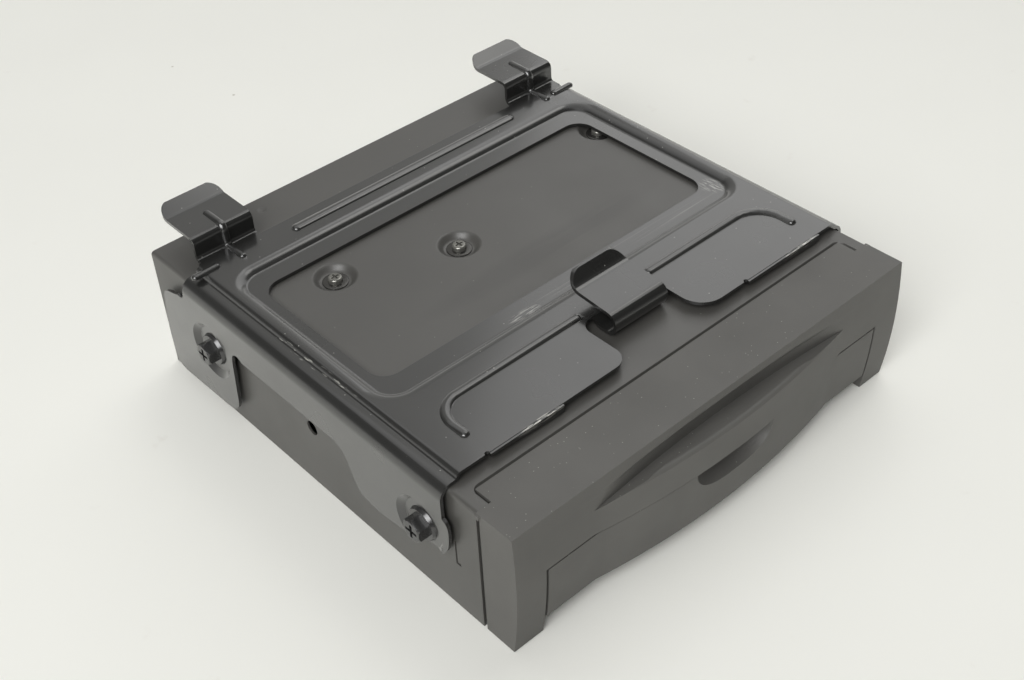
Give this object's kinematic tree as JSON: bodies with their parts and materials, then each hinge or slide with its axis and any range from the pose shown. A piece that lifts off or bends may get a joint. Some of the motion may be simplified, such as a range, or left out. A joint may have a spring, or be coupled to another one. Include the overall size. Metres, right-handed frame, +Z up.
{
  "type": "car navigation dvd drive",
  "caption": "Slot-loading disc drive for a car: flat black steel case, moulded bezel with arched lip and pull-down flap, stamped steel bracket with hooks over the top.",
  "frame": {"origin": "centre of the case's bottom face, midway between the bezel's front plane and the case's rear", "axes": "+Z up, -Y out of the front with the flap, +X to the right seen from the front"},
  "size_m": [0.1904, 0.1977, 0.0651],
  "materials": {
    "cover_paint": "satin black powder coat",
    "bracket_paint": "semi-gloss black paint",
    "black_screws": "black plated",
    "bezel_plastic": "fine textured black",
    "button_plastic": "satin",
    "chassis_zinc": "zinc plated",
    "pin_steel": "ground steel",
    "motor_can": "nickel plated",
    "board_green": "solder mask",
    "chip_black": "moulded",
    "can_aluminium": "drawn can",
    "socket_plastic": "glass filled",
    "contact_brass": "plated",
    "rubber_black": "soft",
    "gear_plastic": "natural acetal",
    "guide_plastic": "dark grey",
    "lens_glass": "clear"
  },
  "bodies": {
    "case": {"top_cover": "cover_paint", "mounting_bracket": "bracket_paint", "bracket_screws": "black_screws", "cover_screws": "black_screws", "front_bezel": "bezel_plastic", "bottom_chassis": "chassis_zinc", "mech_deck": "chassis_zinc", "top_brace": "chassis_zinc", "traverse_plate": "chassis_zinc", "flap_pins": "pin_steel", "clinch_nuts": "pin_steel", "board_screws": "pin_steel", "brace_posts": "pin_steel", "suspension_springs": "pin_steel", "damper_posts": "pin_steel", "damper_screws": "pin_steel", "main_rail": "pin_steel", "sub_rail": "pin_steel", "clamp_pivot": "pin_steel", "cam_pins": "pin_steel", "arm_pins": "pin_steel", "shield_can": "pin_steel", "feed_motor": "motor_can", "spindle_motor": "motor_can", "main_board": "board_green", "eject_board": "board_green", "board_chips": "chip_black", "eject_switch": "chip_black", "board_capacitors": "can_aluminium", "harness_socket": "socket_plastic", "harness_pins": "contact_brass", "antenna_sockets": "contact_brass", "board_posts": "contact_brass", "dampers": "rubber_black", "upper_guide": "guide_plastic", "rail_blocks": "guide_plastic", "screw_bearings": "guide_plastic"},
    "flap": {"flap_door": "bezel_plastic"},
    "eject": {"eject_button": "button_plastic"},
    "turntable": {"turntable": "can_aluminium", "turntable_pad": "rubber_black"},
    "sled": {"pickup_sled": "guide_plastic"},
    "lens": {"lens_holder": "guide_plastic", "objective_lens": "lens_glass"},
    "feed_screw": {"lead_screw": "pin_steel"},
    "clamp": {"clamp_arm": "chassis_zinc"},
    "puck": {"clamp_puck": "guide_plastic", "clamp_magnet": "pin_steel"},
    "cam": {"cam_slide": "motor_can"},
    "arm": {"roller_arm": "chassis_zinc", "roller_bushes": "gear_plastic", "idler_pin": "pin_steel", "loading_motor": "motor_can"},
    "roller": {"roller_shaft": "pin_steel", "loading_roller": "rubber_black", "roller_gear": "gear_plastic"},
    "idler": {"idler_gear": "gear_plastic"},
    "pinion": {"motor_pinion": "contact_brass"}
  },
  "joints": [
    {"name": "flap_hinge", "type": "hinge", "parent": "case", "child": "flap", "pos_m": [0, -0.09, 0.01], "axis": [1, 0, 0], "range_deg": [0, 80]},
    {"name": "eject_press", "type": "slide", "parent": "case", "child": "eject", "axis": [0, 1, 0], "range_m": [0, 0.0012], "stiffness_N_per_m": 500, "springref_m": -0.0006},
    {"name": "turntable_spin", "type": "hinge", "parent": "case", "child": "turntable", "pos_m": [0, -0.002, 0.0214], "axis": [0, 0, 1], "continuous": true},
    {"name": "sled_slide", "type": "slide", "parent": "case", "child": "sled", "axis": [0, 1, 0], "range_m": [0, 0.032]},
    {"name": "lens_focus", "type": "slide", "parent": "sled", "child": "lens", "axis": [0, 0, 1], "range_m": [-0.0006, 0.0006], "stiffness_N_per_m": 60},
    {"name": "feed_screw_turn", "type": "hinge", "parent": "case", "child": "feed_screw", "pos_m": [-0.034, 0.0094, 0.0185], "axis": [0, 1, 0], "range_deg": [0, 3840]},
    {"name": "cam_travel", "type": "slide", "parent": "case", "child": "cam", "axis": [0, 1, 0], "range_m": [0, 0.01]},
    {"name": "clamp_swing", "type": "hinge", "parent": "case", "child": "clamp", "pos_m": [0, 0.053, 0.0295], "axis": [1, 0, 0], "range_deg": [0, 5.8]},
    {"name": "puck_spin", "type": "hinge", "parent": "clamp", "child": "puck", "pos_m": [0, -0.002, 0.03], "axis": [0, 0, 1], "continuous": true},
    {"name": "roller_drop", "type": "hinge", "parent": "case", "child": "arm", "pos_m": [0, -0.032, 0.023], "axis": [1, 0, 0], "range_deg": [0, 5.6]},
    {"name": "roller_spin", "type": "hinge", "parent": "arm", "child": "roller", "pos_m": [0, -0.068, 0.023], "axis": [1, 0, 0], "continuous": true},
    {"name": "idler_spin", "type": "hinge", "parent": "arm", "child": "idler", "pos_m": [-0.0617, -0.05873, 0.02051], "axis": [1, 0, 0], "continuous": true},
    {"name": "pinion_spin", "type": "hinge", "parent": "arm", "child": "pinion", "pos_m": [-0.0617, -0.05066, 0.01981], "axis": [1, 0, 0], "continuous": true}
  ],
  "couplings": [
    {"joint": "feed_screw_turn", "follows": "sled_slide", "rad_per_m": 2094.4},
    {"joint": "clamp_swing", "follows": "cam_travel", "rad_per_m": 10.123},
    {"joint": "roller_drop", "follows": "cam_travel", "rad_per_m": 9.7737},
    {"joint": "idler_spin", "follows": "roller_spin", "ratio": -0.72727},
    {"joint": "pinion_spin", "follows": "roller_spin", "ratio": 1.6}
  ]
}
